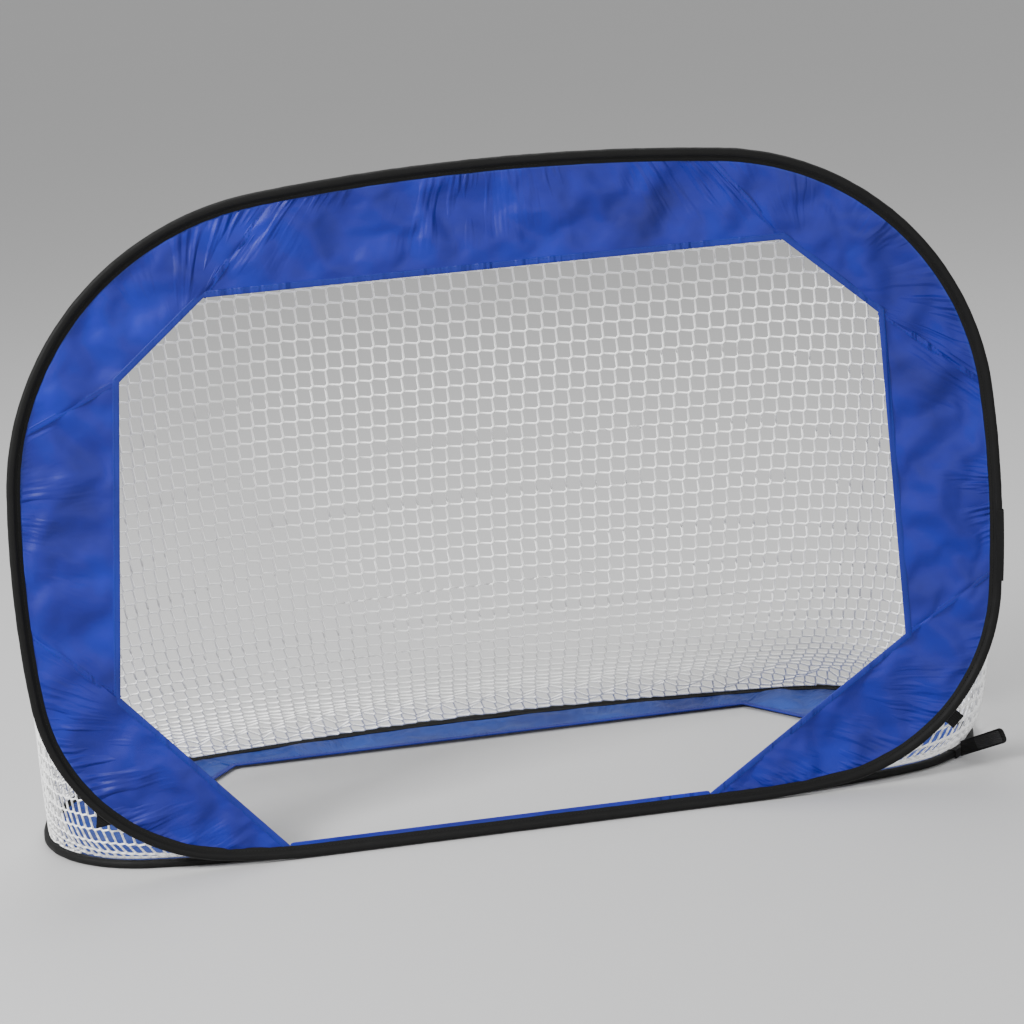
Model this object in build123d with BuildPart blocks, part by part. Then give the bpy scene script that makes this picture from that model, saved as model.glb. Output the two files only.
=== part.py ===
from build123d import *

import os
from collections import namedtuple
from math import cos, radians, sin

# Pop-up goal: two spring-steel hoops in fabric sleeves, sewn to each other along the sill.
# The front hoop stands up and carries the mouth panels; the base hoop lies on the ground, and
# a net reaches from one to the other. Millimetres, +Z up. The goal faces -Y. The origin lies
# on the ground under the middle of the base hoop's sill.

# ---- hoops --------------------------------------------------------------------------------
# A hoop's outer edge is a straight sill followed, up each side, by tangent arcs. The last
# arc, the crown, is worked out so that the two halves meet on the centre line. A Seam of the
# fabric runs from a corner of its inner edge out to the binding.
Hoop = namedtuple("Hoop", "plane sill_half radii turns")
Seam = namedtuple("Seam", "inner outer")

SLEEVE_WIDTH = 10  # tube part of the binding, measured in the hoop's plane
SLEEVE_THICKNESS = 10  # across the hoop's plane
SLEEVE_ROUND = 4.2
FLANGE_WIDTH = 6  # flat sewn edge of the binding
FLANGE_THICKNESS = 3
BINDING_WIDTH = SLEEVE_WIDTH + FLANGE_WIDTH

SILL_GAP = 1.0  # between the two sleeves along the sill
FRONT_LIFT = 0.5  # the front hoop hangs just clear of the ground
BASE_SILL_Y = -SLEEVE_WIDTH / 2
BASE_MID_Z = SLEEVE_THICKNESS / 2
HINGE_Y = BASE_SILL_Y - SILL_GAP / 2
HINGE_Z = 12.5
FRONT_Y = BASE_SILL_Y - SILL_GAP - SLEEVE_THICKNESS / 2
FRONT_BACK_Y = FRONT_Y + SLEEVE_THICKNESS / 2

FRONT = Hoop(
    Plane(origin=(0, FRONT_Y, FRONT_LIFT), x_dir=(1, 0, 0), z_dir=(0, -1, 0)),
    264, (866, 248, 1431, 359), (7.8, 77.2, 10.1, 78.9),
)
BASE = Hoop(
    Plane(origin=(0, BASE_SILL_Y, BASE_MID_Z), x_dir=(1, 0, 0), z_dir=(0, 0, 1)),
    276, (848, 163, 307, 230), (13.6, 73.6, 16.0, 67.6),
)

# ---- spring strips ------------------------------------------------------------------------
CHANNEL_INSET = 3.2
CHANNEL_WIDTH = 3.6
CHANNEL_THICKNESS = 7.2
STRIP_INSET = 4.4
STRIP_WIDTH = 1.2
STRIP_THICKNESS = 6
FERRULE_LENGTH = 44
FERRULE_X = 80
FERRULE_WALL = 0.5
FERRULE_GAP = 0.05

# ---- fabric -------------------------------------------------------------------------------
FABRIC = 1.0  # panel thickness
HEM_OVER = 6  # how far the hem tape laps onto a panel
HEM_PROUD = 1  # how far it stands past the panel's edge
HEM_THICKNESS = 2.2
SILL_BAND_TOP = 21
FAR = 900  # outside every hoop

# Seams in the hoop's plane, listed clockwise from the left end of the sill.
FRONT_SEAMS = [
    Seam((-306, 16), (-306, -FAR)),
    Seam((-490, 226), (-583, 312)),
    Seam((-452, 605), (-546, 564)),
    Seam((-345, 694), (-264, 788)),
    Seam((345, 694), (267, 793)),
    Seam((458, 594), (562, 509)),
    Seam((472, 190), (569, 247)),
    Seam((214, 16), (214, -FAR)),
]
BASE_SEAMS = [
    Seam((-300, 16), (-300, -FAR)),
    Seam((-440, 120), (-560, 92)),
    Seam((-440, 240), (-580, 282)),
    Seam((-345, 380), (-392, 440)),
    Seam((345, 380), (392, 440)),
    Seam((440, 240), (580, 282)),
    Seam((440, 120), (560, 92)),
    Seam((300, 16), (300, -FAR)),
]
PANEL_NAMES = [
    "lower_left_corner", "left_band", "upper_left_corner", "top_band",
    "upper_right_corner", "right_band", "lower_right_corner",
]
BASE_PANEL_NAMES = [
    "front_left_corner", "left_band", "rear_left_corner", "rear_band",
    "rear_right_corner", "right_band", "front_right_corner",
]

# ---- joins and webbing --------------------------------------------------------------------
JOIN_WALL = 0.6
JOIN_LENGTH = 90
JOIN_HEIGHT = 290  # middle of the front binding's overlap, up the right side
TAPE = 0.6  # thickness of the sill seam tape
TAPE_DOWN = 0.4
TAPE_FOOT = 2
TAPE_LAP = 8
TAPE_TOP = SLEEVE_THICKNESS + 0.05
TAPE_HALF = 254
WEB = 1.2
WEB_WIDTH = 20
WEB_CLEARANCE = 0.35
TAB_HEADING = 45  # direction of the hoop's edge where the webbing is sewn on
TAB_LAP = 4
TAB_REACH = 16
TAB_HALF = 15
TAB_STANDOFF = 0.2
ANCHOR_LAP = 12
ANCHOR_FOOT = 0.3
TAIL_PIVOT = 3.6  # from the base hoop's edge, outwards
TAIL_THICKNESS = 1.5
TAIL_LENGTH = 72
TAIL_RISE = 22  # degrees
TAIL_FOOT = 0.8
TAIL_ROUND = 6
PATCH_LENGTH = 38
PATCH_WIDTH = 15
PATCH_THICKNESS = 0.8
PATCH_MARGIN = 6

# ---- net ----------------------------------------------------------------------------------
NET_THICKNESS = 1.2
NET_INSET = 8
NET_Y = HINGE_Y + 0.8
NET_HEADINGS = (30, 45, 60, 75, 90, 108, 125, 145, 165)
# How far the net stands from the hinge line at each angle back from the front hoop: it drops
# steeply from the crown and runs out flatter to the rear of the base.
NET_REACH = [(0, 803), (8, 562), (20, 415), (35, 330), (52, 302), (70, 325), (90, 456)]


# ---- helpers ------------------------------------------------------------------------------

def hoop_outline(hoop, inset):
    """Edges of a hoop's outline, moved in from its outer edge by `inset`."""
    with BuildLine() as outline:
        arc = Line((0, inset), (hoop.sill_half, inset))
        for radius, turn in zip(hoop.radii, hoop.turns):
            arc = JernArc(arc @ 1, arc % 1, radius - inset, turn)
        crown_turn = 180 - sum(hoop.turns)
        JernArc(arc @ 1, arc % 1, (arc @ 1).X / sin(radians(crown_turn)), crown_turn)
        mirror(about=Plane.YZ)
    return outline.edges()


def hoop_point(hoop, heading, inset):
    """Point of the inset outline, up the right side, where its edge has the given heading."""
    x, y, start = hoop.sill_half, inset, 0
    for radius, turn in zip(hoop.radii, hoop.turns):
        end = min(start + turn, heading)
        x += (radius - inset) * (sin(radians(end)) - sin(radians(start)))
        y += (radius - inset) * (cos(radians(start)) - cos(radians(end)))
        start = end
    if heading > start:
        crown_radius = x / sin(radians(180 - start))
        x -= crown_radius * (sin(radians(start)) - sin(radians(heading)))
        y += crown_radius * (cos(radians(start)) - cos(radians(heading)))
    return x, y


def ring(hoop, outer, inner, thickness, mode=Mode.ADD):
    """Ring between two insets of a hoop, extruded both ways from its plane."""
    with BuildSketch(hoop.plane) as face:
        make_face(hoop_outline(hoop, outer))
        make_face(hoop_outline(hoop, inner), mode=Mode.SUBTRACT)
    extrude(to_extrude=face.sketch, amount=thickness / 2, both=True, mode=mode)


def far_along(seam):
    """A point well outside the hoop, on the line of a seam."""
    start = Vector(*seam.inner)
    return start + (Vector(*seam.outer) - start).normalized() * FAR


def panel(hoop, first, second):
    """Fabric between two seams, from the inner edge out into the binding's slot."""
    first_far, second_far = far_along(first), far_along(second)
    beyond = (first_far + second_far).normalized() * 3 * FAR
    with BuildSketch(hoop.plane) as cloth:
        make_face(hoop_outline(hoop, SLEEVE_WIDTH))
        with BuildLine():
            Polyline(first.inner, first_far, beyond, second_far, second.inner, close=True)
        make_face(mode=Mode.INTERSECT)
    extrude(to_extrude=cloth.sketch, amount=FABRIC / 2, both=True)


def hem(hoop, seams, over, proud, thickness, mode=Mode.ADD):
    """Tape along the fabric's inner edge, from one end of the sill round to the other."""
    corners = [seam.inner for seam in seams]
    with BuildSketch(hoop.plane) as tape:
        Polygon(*corners, align=None)
        offset(amount=over, kind=Kind.INTERSECTION)
        with BuildSketch(mode=Mode.SUBTRACT):
            Polygon(*corners, align=None)
            offset(amount=-proud, kind=Kind.INTERSECTION)
        Rectangle(2 * FAR, 2 * SILL_BAND_TOP, mode=Mode.SUBTRACT)
    extrude(to_extrude=tape.sketch, amount=thickness / 2, both=True, mode=mode)


def save(piece, label):
    """Name a finished piece and write it to its own file."""
    piece.part.label = label
    export_step(piece.part, f"parts/{label}.step")


def across(hoop, heading, outwards):
    """Plane whose X points out of a hoop's edge and whose Y points up, at a heading."""
    x, y = hoop_point(hoop, heading, 0)
    out = (sin(radians(heading)), -cos(radians(heading)), 0)
    along = (cos(radians(heading)), sin(radians(heading)), 0)
    foot = hoop.plane.from_local_coords(Vector(x, y, 0)) + Vector(*out) * outwards
    return Plane(origin=(foot.X, foot.Y, 0), x_dir=out, z_dir=(-along[0], -along[1], 0))


os.makedirs("parts", exist_ok=True)

# ---- the two hoops: spring strip, ferrule, binding, fabric, hem ----------------------------

for side, hoop, seams, names in (
    ("front", FRONT, FRONT_SEAMS, PANEL_NAMES),
    ("base", BASE, BASE_SEAMS, BASE_PANEL_NAMES),
):
    with BuildPart() as spring_strip:
        ring(hoop, STRIP_INSET, STRIP_INSET + STRIP_WIDTH, STRIP_THICKNESS)
    save(spring_strip, f"{side}_spring_strip")

    # A crimped tube that holds the two ends of the strip together.
    strip_middle = (FERRULE_X, STRIP_INSET + STRIP_WIDTH / 2)
    bore = (FERRULE_LENGTH, STRIP_WIDTH + 2 * FERRULE_GAP)
    with BuildPart() as ferrule:
        with BuildSketch(hoop.plane):
            with Locations(strip_middle):
                Rectangle(bore[0], bore[1] + 2 * FERRULE_WALL)
        extrude(amount=STRIP_THICKNESS / 2 + FERRULE_GAP + FERRULE_WALL, both=True)
        with BuildSketch(hoop.plane):
            with Locations(strip_middle):
                Rectangle(*bore)
        extrude(amount=STRIP_THICKNESS / 2 + FERRULE_GAP, both=True, mode=Mode.SUBTRACT)
    save(ferrule, f"{side}_strip_ferrule")

    with BuildPart() as binding:
        ring(hoop, 0, SLEEVE_WIDTH, SLEEVE_THICKNESS)
        across_hoop = Axis(hoop.plane.origin, hoop.plane.z_dir)
        rims = binding.faces().filter_by(GeomType.PLANE).filter_by(across_hoop).edges()
        fillet(rims, SLEEVE_ROUND)
        ring(hoop, SLEEVE_WIDTH, BINDING_WIDTH, FLANGE_THICKNESS)
        ring(hoop, SLEEVE_WIDTH, BINDING_WIDTH, FABRIC, mode=Mode.SUBTRACT)
        ring(hoop, CHANNEL_INSET, CHANNEL_INSET + CHANNEL_WIDTH, CHANNEL_THICKNESS, mode=Mode.SUBTRACT)
    save(binding, f"{side}_binding")

    for name, first, second in zip(names, seams, seams[1:]):
        with BuildPart() as cloth_panel:
            panel(hoop, first, second)
        save(cloth_panel, f"{side}_{name}")

    # The narrow strip of fabric left along the sill between the two lower corners.
    with BuildPart() as sill_band:
        with BuildSketch(hoop.plane):
            with BuildLine():
                Polyline(
                    (seams[0].inner[0], SLEEVE_WIDTH), (seams[-1].inner[0], SLEEVE_WIDTH),
                    (seams[-1].inner[0], SILL_BAND_TOP), (seams[0].inner[0], SILL_BAND_TOP),
                    close=True,
                )
            make_face()
            make_face(hoop_outline(hoop, SLEEVE_WIDTH), mode=Mode.INTERSECT)
        extrude(amount=FABRIC / 2, both=True)
    save(sill_band, f"{side}_sill_band")

    with BuildPart() as hem_tape:
        hem(hoop, seams, HEM_OVER, HEM_PROUD, HEM_THICKNESS)
        hem(hoop, seams, HEM_OVER + 1, 0, FABRIC, mode=Mode.SUBTRACT)
    save(hem_tape, f"{side}_hem_tape")

# ---- binding joins: where the end of each binding laps over its start ----------------------

with BuildPart() as front_join:
    ring(FRONT, -JOIN_WALL, SLEEVE_WIDTH - 1, SLEEVE_THICKNESS + 2 * JOIN_WALL)
    ring(FRONT, 0, SLEEVE_WIDTH, SLEEVE_THICKNESS, mode=Mode.SUBTRACT)
    with Locations((FAR / 2, FRONT_Y, JOIN_HEIGHT)):
        Box(FAR, 4 * SLEEVE_THICKNESS, JOIN_LENGTH, mode=Mode.INTERSECT)
save(front_join, "front_binding_join")

# ---- sill seam tape: holds the two sleeves together and bends as the fold hinge ------------

with BuildPart() as seam_tape:
    with BuildSketch(Plane.YZ):
        with BuildLine():
            Polyline(
                (HINGE_Y, TAPE_FOOT), (HINGE_Y + TAPE_DOWN, TAPE_FOOT),
                (HINGE_Y + TAPE_DOWN, TAPE_TOP), (BASE_SILL_Y + TAPE_LAP, TAPE_TOP),
                (BASE_SILL_Y + TAPE_LAP, TAPE_TOP + TAPE), (HINGE_Y, TAPE_TOP + TAPE), close=True,
            )
        make_face()
    extrude(amount=TAPE_HALF, both=True)
save(seam_tape, "sill_seam_tape")

# ---- webbing sewn to the lower corners -----------------------------------------------------

corner_x, corner_y = hoop_point(FRONT, TAB_HEADING, 0)
lean = radians(TAB_HEADING)


def behind_front(side):
    """Plane on the back of the front hoop's lower corner, Y pointing out of its edge."""
    return Plane(
        origin=(side * corner_x, FRONT_BACK_Y + TAB_STANDOFF, corner_y + FRONT_LIFT),
        x_dir=(-cos(lean), 0, -side * sin(lean)), z_dir=(0, -1, 0),
    )


# A short end of webbing folded to a point, on the left.
with BuildPart() as left_tab:
    with BuildSketch(behind_front(-1)):
        with BuildLine():
            Polyline((-TAB_HALF, -TAB_LAP), (TAB_HALF, -TAB_LAP), (0, TAB_REACH), close=True)
        make_face()
    extrude(amount=-WEB)
save(left_tab, "front_left_web_tab")

# The strap's stay: a square end of webbing, on the right.
with BuildPart() as right_tab:
    with BuildSketch(behind_front(1)):
        with Locations((0, (TAB_REACH - TAB_LAP) / 2)):
            Rectangle(WEB_WIDTH, TAB_REACH + TAB_LAP)
    extrude(amount=-WEB)
save(right_tab, "front_right_web_tab")

# Webbing folded over the base hoop's sleeve, which holds the closing strap.
with BuildPart() as strap_anchor:
    with BuildSketch(across(BASE, TAB_HEADING, 0)):
        with BuildLine():
            Polyline(
                (-ANCHOR_LAP, TAPE_TOP), (WEB_CLEARANCE, TAPE_TOP),
                (WEB_CLEARANCE, ANCHOR_FOOT), (WEB_CLEARANCE + WEB, ANCHOR_FOOT),
                (WEB_CLEARANCE + WEB, TAPE_TOP + WEB), (-ANCHOR_LAP, TAPE_TOP + WEB), close=True,
            )
        make_face()
    extrude(amount=WEB_WIDTH / 2, both=True)
save(strap_anchor, "strap_anchor")

# The closing strap's free end stands on edge and rises to a rounded tip.
tail_plane = across(BASE, TAB_HEADING, TAIL_PIVOT)
along_tail = Vector(cos(radians(TAIL_RISE)), sin(radians(TAIL_RISE)))
up_tail = Vector(-along_tail.Y, along_tail.X)
tail_foot = Vector(0, TAIL_FOOT)
tail_tip = tail_foot + along_tail * TAIL_LENGTH
with BuildPart() as strap_tail:
    with BuildSketch(tail_plane):
        with BuildLine():
            Polyline(
                tail_foot, tail_tip, tail_tip + up_tail * WEB_WIDTH,
                (0, TAIL_FOOT + WEB_WIDTH), close=True,
            )
        make_face()
        fillet(vertices().sort_by(Axis.X)[-2:], TAIL_ROUND)
    extrude(amount=TAIL_THICKNESS / 2, both=True)
save(strap_tail, "strap_tail")

patch_middle = tail_tip - along_tail * (PATCH_MARGIN + PATCH_LENGTH / 2) + up_tail * (WEB_WIDTH / 2)
with BuildPart() as hook_patch:
    with BuildSketch(tail_plane.offset(TAIL_THICKNESS / 2)):
        with Locations(Location((patch_middle.X, patch_middle.Y), TAIL_RISE)):
            RectangleRounded(PATCH_LENGTH, PATCH_WIDTH, 2)
    extrude(amount=PATCH_THICKNESS)
save(hook_patch, "strap_hook_patch")

# ---- net -----------------------------------------------------------------------------------
# Arches fan back about the hinge line, from the front hoop's shape to the base hoop's.

def net_rim(share, reach, inset):
    """Points along one edge of an arch that is `share` of the way to the base hoop's shape."""
    front_crown, base_crown = (hoop_point(hoop, 180, 0)[1] for hoop in (FRONT, BASE))
    right = []
    for heading in NET_HEADINGS:
        front_x, front_y = hoop_point(FRONT, heading, inset)
        base_x, base_y = hoop_point(BASE, heading, inset)
        height = front_y / front_crown * (1 - share) + base_y / base_crown * share
        right.append((front_x * (1 - share) + base_x * share, height * reach))
    crown = (0, reach - inset)
    left = [(-x, y) for x, y in reversed(right)]
    return right + [crown] + left


with BuildPart() as net:
    for angle, reach in NET_REACH:
        lean_back = radians(angle)
        arch_plane = Plane(
            origin=(0, NET_Y, HINGE_Z), x_dir=(1, 0, 0), z_dir=(0, -cos(lean_back), sin(lean_back))
        )
        with BuildSketch(arch_plane):
            with BuildLine():
                outer = Spline(*net_rim(angle / 90, reach, NET_INSET))
                inner = Spline(*net_rim(angle / 90, reach, NET_INSET + NET_THICKNESS))
                Line(outer @ 0, inner @ 0)
                Line(outer @ 1, inner @ 1)
            make_face()
    loft(ruled=True)
save(net, "goal_net")
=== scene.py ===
"""Pop-up goal: net, fabric panels, bindings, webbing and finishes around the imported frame."""
import logging
from dataclasses import dataclass, field
from enum import Enum
from math import asin, atan2, cos, degrees, pi, radians, sin
from typing import Callable

import bmesh
import bpy
import numpy as np
from mathutils import Matrix, Vector, noise


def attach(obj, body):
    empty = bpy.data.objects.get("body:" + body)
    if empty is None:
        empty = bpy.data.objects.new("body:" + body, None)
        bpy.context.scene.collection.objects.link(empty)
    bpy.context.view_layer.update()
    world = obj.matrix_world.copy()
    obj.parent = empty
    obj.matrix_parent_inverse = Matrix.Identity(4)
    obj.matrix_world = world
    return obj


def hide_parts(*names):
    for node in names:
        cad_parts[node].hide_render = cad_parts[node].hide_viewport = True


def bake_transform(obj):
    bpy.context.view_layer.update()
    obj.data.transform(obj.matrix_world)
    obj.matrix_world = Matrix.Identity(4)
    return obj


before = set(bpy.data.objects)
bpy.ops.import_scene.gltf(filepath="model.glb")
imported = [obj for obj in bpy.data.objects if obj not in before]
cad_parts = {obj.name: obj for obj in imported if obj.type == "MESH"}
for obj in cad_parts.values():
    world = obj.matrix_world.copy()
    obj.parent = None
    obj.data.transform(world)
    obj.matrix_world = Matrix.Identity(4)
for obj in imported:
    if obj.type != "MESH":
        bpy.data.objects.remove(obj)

log = logging.getLogger("pop_up_goal")
MM = 0.001
PLAIN_DEPTH = 30 * MM


class Body(Enum):
    """The moving bodies that the made pieces ride on."""

    BASE = "base_hoop"
    FRONT = "front_hoop"


class Slot(Enum):
    """The record's material slots that the made pieces use."""

    BINDING = "binding_black"
    PANEL = "panel_blue"
    HEM = "hem_blue"
    NET = "net_white"


def tint(red: int, green: int, blue: int) -> tuple[float, float, float, float]:
    """Turns a display colour into the linear one that shaders use.

    Args:
        red: red from 0 to 255.
        green: green from 0 to 255.
        blue: blue from 0 to 255.

    Returns:
        The linear colour, with full alpha.
    """
    linear = [((c / 255 + 0.055) / 1.055) ** 2.4 if c > 10 else c / 255 / 12.92 for c in (red, green, blue)]
    return (*linear, 1.0)


# ---- shader arithmetic ----


class Value:
    """A number socket in a material that takes part in Python arithmetic."""

    def __init__(self, recipe: "Recipe", socket: bpy.types.NodeSocket) -> None:
        """Keeps the socket and the recipe that it belongs to."""
        self.recipe = recipe
        self.socket = socket

    def maths(self, operation: str, first: object, second: object) -> "Value":
        """Adds one Math node.

        Args:
            operation: the node's operation.
            first: its first number or Value.
            second: its second number or Value.

        Returns:
            The node's result.
        """
        return self.recipe.add("ShaderNodeMath", {"operation": operation}, {0: first, 1: second})

    def __add__(self, other: object) -> "Value":
        """Sum."""
        return self.maths("ADD", self, other)

    def __radd__(self, other: object) -> "Value":
        """Sum, with the number first."""
        return self.maths("ADD", other, self)

    def __rsub__(self, other: object) -> "Value":
        """Difference, with the number first."""
        return self.maths("SUBTRACT", other, self)

    def __mul__(self, other: object) -> "Value":
        """Product."""
        return self.maths("MULTIPLY", self, other)

    def __rmul__(self, other: object) -> "Value":
        """Product, with the number first."""
        return self.maths("MULTIPLY", other, self)

    def sine(self) -> "Value":
        """Its sine, from radians."""
        return self.maths("SINE", self, 0.0)


class Recipe:
    """A material under construction, with one method that adds every kind of node."""

    def __init__(self, name: str) -> None:
        """Starts an empty material with its output node."""
        self.material = bpy.data.materials.new(name)
        self.material.use_nodes = True
        self.tree = self.material.node_tree
        self.tree.nodes.clear()

    def add(
        self, kind: str, settings: dict | None = None, inputs: dict | None = None,
        output: int | str | None = 0,
    ) -> Value | None:
        """Adds a node.

        Args:
            kind: the node's type.
            settings: its settings, which are set first.
            inputs: a number, colour or Value for each of its sockets.
            output: the output that is returned, or None for a node that has none.

        Returns:
            That output, ready for arithmetic.
        """
        node = self.tree.nodes.new(kind)
        for key, value in (settings or {}).items():
            setattr(node, key, value)
        for key, value in (inputs or {}).items():
            if isinstance(value, Value):
                self.tree.links.new(value.socket, node.inputs[key])
            else:
                node.inputs[key].default_value = value
        return None if output is None else Value(self, node.outputs[output])

    def place(self) -> Value:
        """The point on the piece, in metres."""
        return self.add("ShaderNodeTexCoord", output="Object")

    def cloth(self) -> tuple[Value, Value, Value]:
        """The piece's own cloth map, and its distances along and across the cloth, in metres."""
        flat = self.add("ShaderNodeUVMap", {"uv_map": "cloth"})
        apart = self.add("ShaderNodeSeparateXYZ", inputs={"Vector": flat})
        return flat, apart, Value(self, apart.socket.node.outputs["Y"])

    def cloud(
        self, scale: float, detail: float = 3.0, stretch: tuple = (1, 1, 1), where: Value | None = None
    ) -> Value:
        """Soft noise over the piece.

        Args:
            scale: features per metre.
            detail: how many finer layers are added.
            stretch: the factors on X, Y and Z.
            where: the coordinates, or None for the point on the piece.

        Returns:
            The noise, about 0.5 on average.
        """
        mapped = self.add("ShaderNodeMapping", inputs={"Vector": where or self.place(), "Scale": stretch})
        return self.add("ShaderNodeTexNoise", inputs={"Vector": mapped, "Scale": scale, "Detail": detail})

    def mix(self, share: Value, first: tuple, second: object) -> Value:
        """Blends two colours.

        Args:
            share: how much of the second is used.
            first: a colour or Value.
            second: a colour or Value.

        Returns:
            The blended colour.
        """
        settings = {"data_type": "RGBA"}
        return self.add("ShaderNodeMix", settings, {"Factor": share, 6: first, 7: second}, output=2)

    def ramp(self, value: Value, low: float, high: float) -> Value:
        """Maps a value's span from low to high onto 0 to 1, clamped."""
        span = {"Value": value, "From Min": low, "From Max": high}
        return self.add("ShaderNodeMapRange", {"clamp": True}, span)

    def bump(self, height: Value, depth: float) -> Value:
        """Raises the surface by height times depth, in metres."""
        inputs = {"Height": height, "Distance": depth, "Strength": 1.0}
        return self.add("ShaderNodeBump", inputs=inputs, output="Normal")

    def finish(self, **inputs: object) -> bpy.types.Material:
        """Closes the material with one Principled shader.

        Args:
            **inputs: the shader's sockets, with _ for each space.

        Returns:
            The finished material.
        """
        named = {key.replace("_", " "): value for key, value in inputs.items()}
        surface = self.add("ShaderNodeBsdfPrincipled", inputs=named)
        self.add("ShaderNodeOutputMaterial", inputs={"Surface": surface}, output=None)
        return self.material


# ---- finishes ----


@dataclass(frozen=True)
class Satin:
    """Coated polyester with a satin face: plain weave, creases drawn to the binding, a painted highlight
    along the edge.
    """

    name: str
    body: tuple
    shade: tuple
    # edge: colour of the painted highlight, a paler strip of cloth beside the binding
    edge: tuple
    highlight_width: float = 2.6 * MM
    weave: float = 0.9 * MM
    gloss: float = 0.45
    drawn_in: float = 95 * MM
    drawn_deep: float = 3.2

    def make(self) -> bpy.types.Material:
        """Builds the material. The cloth map's V is the distance in from the binding."""
        r = Recipe(self.name)
        flat, along, across = r.cloth()
        tone = r.ramp(r.cloud(9, 4, (1, 1, 1.4)), 0.3, 0.7)
        streak = r.cloud(22, 5, (1, 1, 3))
        colour = r.mix(tone, self.shade, self.body)
        # Painted highlight: the cloth's outer strip beside the binding is blended 12% towards the edge
        # colour.
        painted_edge_highlight = (1 - r.ramp(across, 0.4 * self.highlight_width, self.highlight_width)) * 0.12
        colour = r.mix(painted_edge_highlight, colour, self.edge)
        threads = (along * (2 * pi / self.weave)).sine() * (across * (2 * pi / self.weave)).sine()
        drawn = r.ramp(r.cloud(9, 2, (6, 1, 1), flat), 0.46, 0.66)
        gathered = r.ramp(r.cloud(5, 2), 0.44, 0.6) * (1 - r.ramp(across, 0.0, self.drawn_in))
        puckers = r.cloud(140, 3) * 0.12 + streak * 0.35 + drawn * gathered * self.drawn_deep
        normal = r.bump(puckers * 1.6 + threads * 0.03, 0.9 * MM)
        rough = self.gloss + 0.16 * streak
        return r.finish(
            Base_Color=colour, Roughness=rough, Normal=normal, Sheen_Weight=0.03, Sheen_Roughness=0.4,
            Specular_IOR_Level=0.35,
        )


@dataclass(frozen=True)
class Woven:
    """Narrow woven tape: ribs across its length, dull fibres and dusty high spots."""

    name: str
    body: tuple
    worn: tuple
    rib: float = 1.6 * MM
    depth: float = 0.25 * MM
    roughness: float = 0.62

    def make(self) -> bpy.types.Material:
        """Builds the material from Object coordinates."""
        r = Recipe(self.name)
        dust = r.ramp(r.cloud(38, 5), 0.42, 0.72)
        fibre = r.cloud(900, 2)
        waves = r.add(
            "ShaderNodeTexWave", {"wave_type": "BANDS", "bands_direction": "DIAGONAL"},
            {"Vector": r.place(), "Scale": 0.314 / self.rib, "Distortion": 0.6}, output="Fac",
        )
        colour = r.mix(dust * 0.5 + fibre * 0.2, self.body, self.worn)
        normal = r.bump(waves * 0.8 + fibre * 0.5, self.depth)
        return r.finish(
            Base_Color=colour, Roughness=self.roughness + 0.15 * dust, Normal=normal, Sheen_Weight=0.02,
            Specular_IOR_Level=0.2,
        )


@dataclass(frozen=True)
class Twine:
    """Braided polyester twine for the net, slightly translucent and fuzzy."""

    name: str = "net_twine"
    body: tuple = tint(253, 253, 252)
    shade: tuple = tint(240, 240, 238)

    def make(self) -> bpy.types.Material:
        """Builds the material from Object coordinates."""
        r = Recipe(self.name)
        plait = r.cloud(700, 2)
        dirt = r.ramp(r.cloud(12, 4), 0.45, 0.8)
        colour = r.mix(dirt, self.body, self.shade)
        return r.finish(
            Base_Color=colour, Roughness=0.55 + 0.2 * plait, Normal=r.bump(plait, 0.4 * MM), Sheen_Weight=0.2,
            Subsurface_Weight=0.15, Subsurface_Radius=(0.002, 0.002, 0.002),
        )


@dataclass(frozen=True)
class Steel:
    """Bare or zinc-plated steel with rolling marks."""

    name: str
    body: tuple
    rough: float

    def make(self) -> bpy.types.Material:
        """Builds the material from Object coordinates."""
        r = Recipe(self.name)
        marks = r.cloud(420, 4, (1, 1, 0.1))
        worn = (*(0.7 * part for part in self.body[:3]), 1.0)
        colour = r.mix(r.ramp(marks, 0.35, 0.7), self.body, worn)
        rough, normal = self.rough + 0.2 * marks, r.bump(marks, 0.05 * MM)
        return r.finish(Base_Color=colour, Metallic=1.0, Roughness=rough, Normal=normal)


@dataclass(frozen=True)
class Ground:
    """Pale matt studio floor."""

    name: str = "studio_floor"
    body: tuple = tint(176, 176, 176)

    def make(self) -> bpy.types.Material:
        """Builds the material."""
        r = Recipe(self.name)
        patch = r.cloud(1.3, 2)
        colour = r.mix(patch * 0.2, self.body, tint(170, 170, 171))
        return r.finish(Base_Color=colour, Roughness=0.85, Specular_IOR_Level=0.2)


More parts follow.
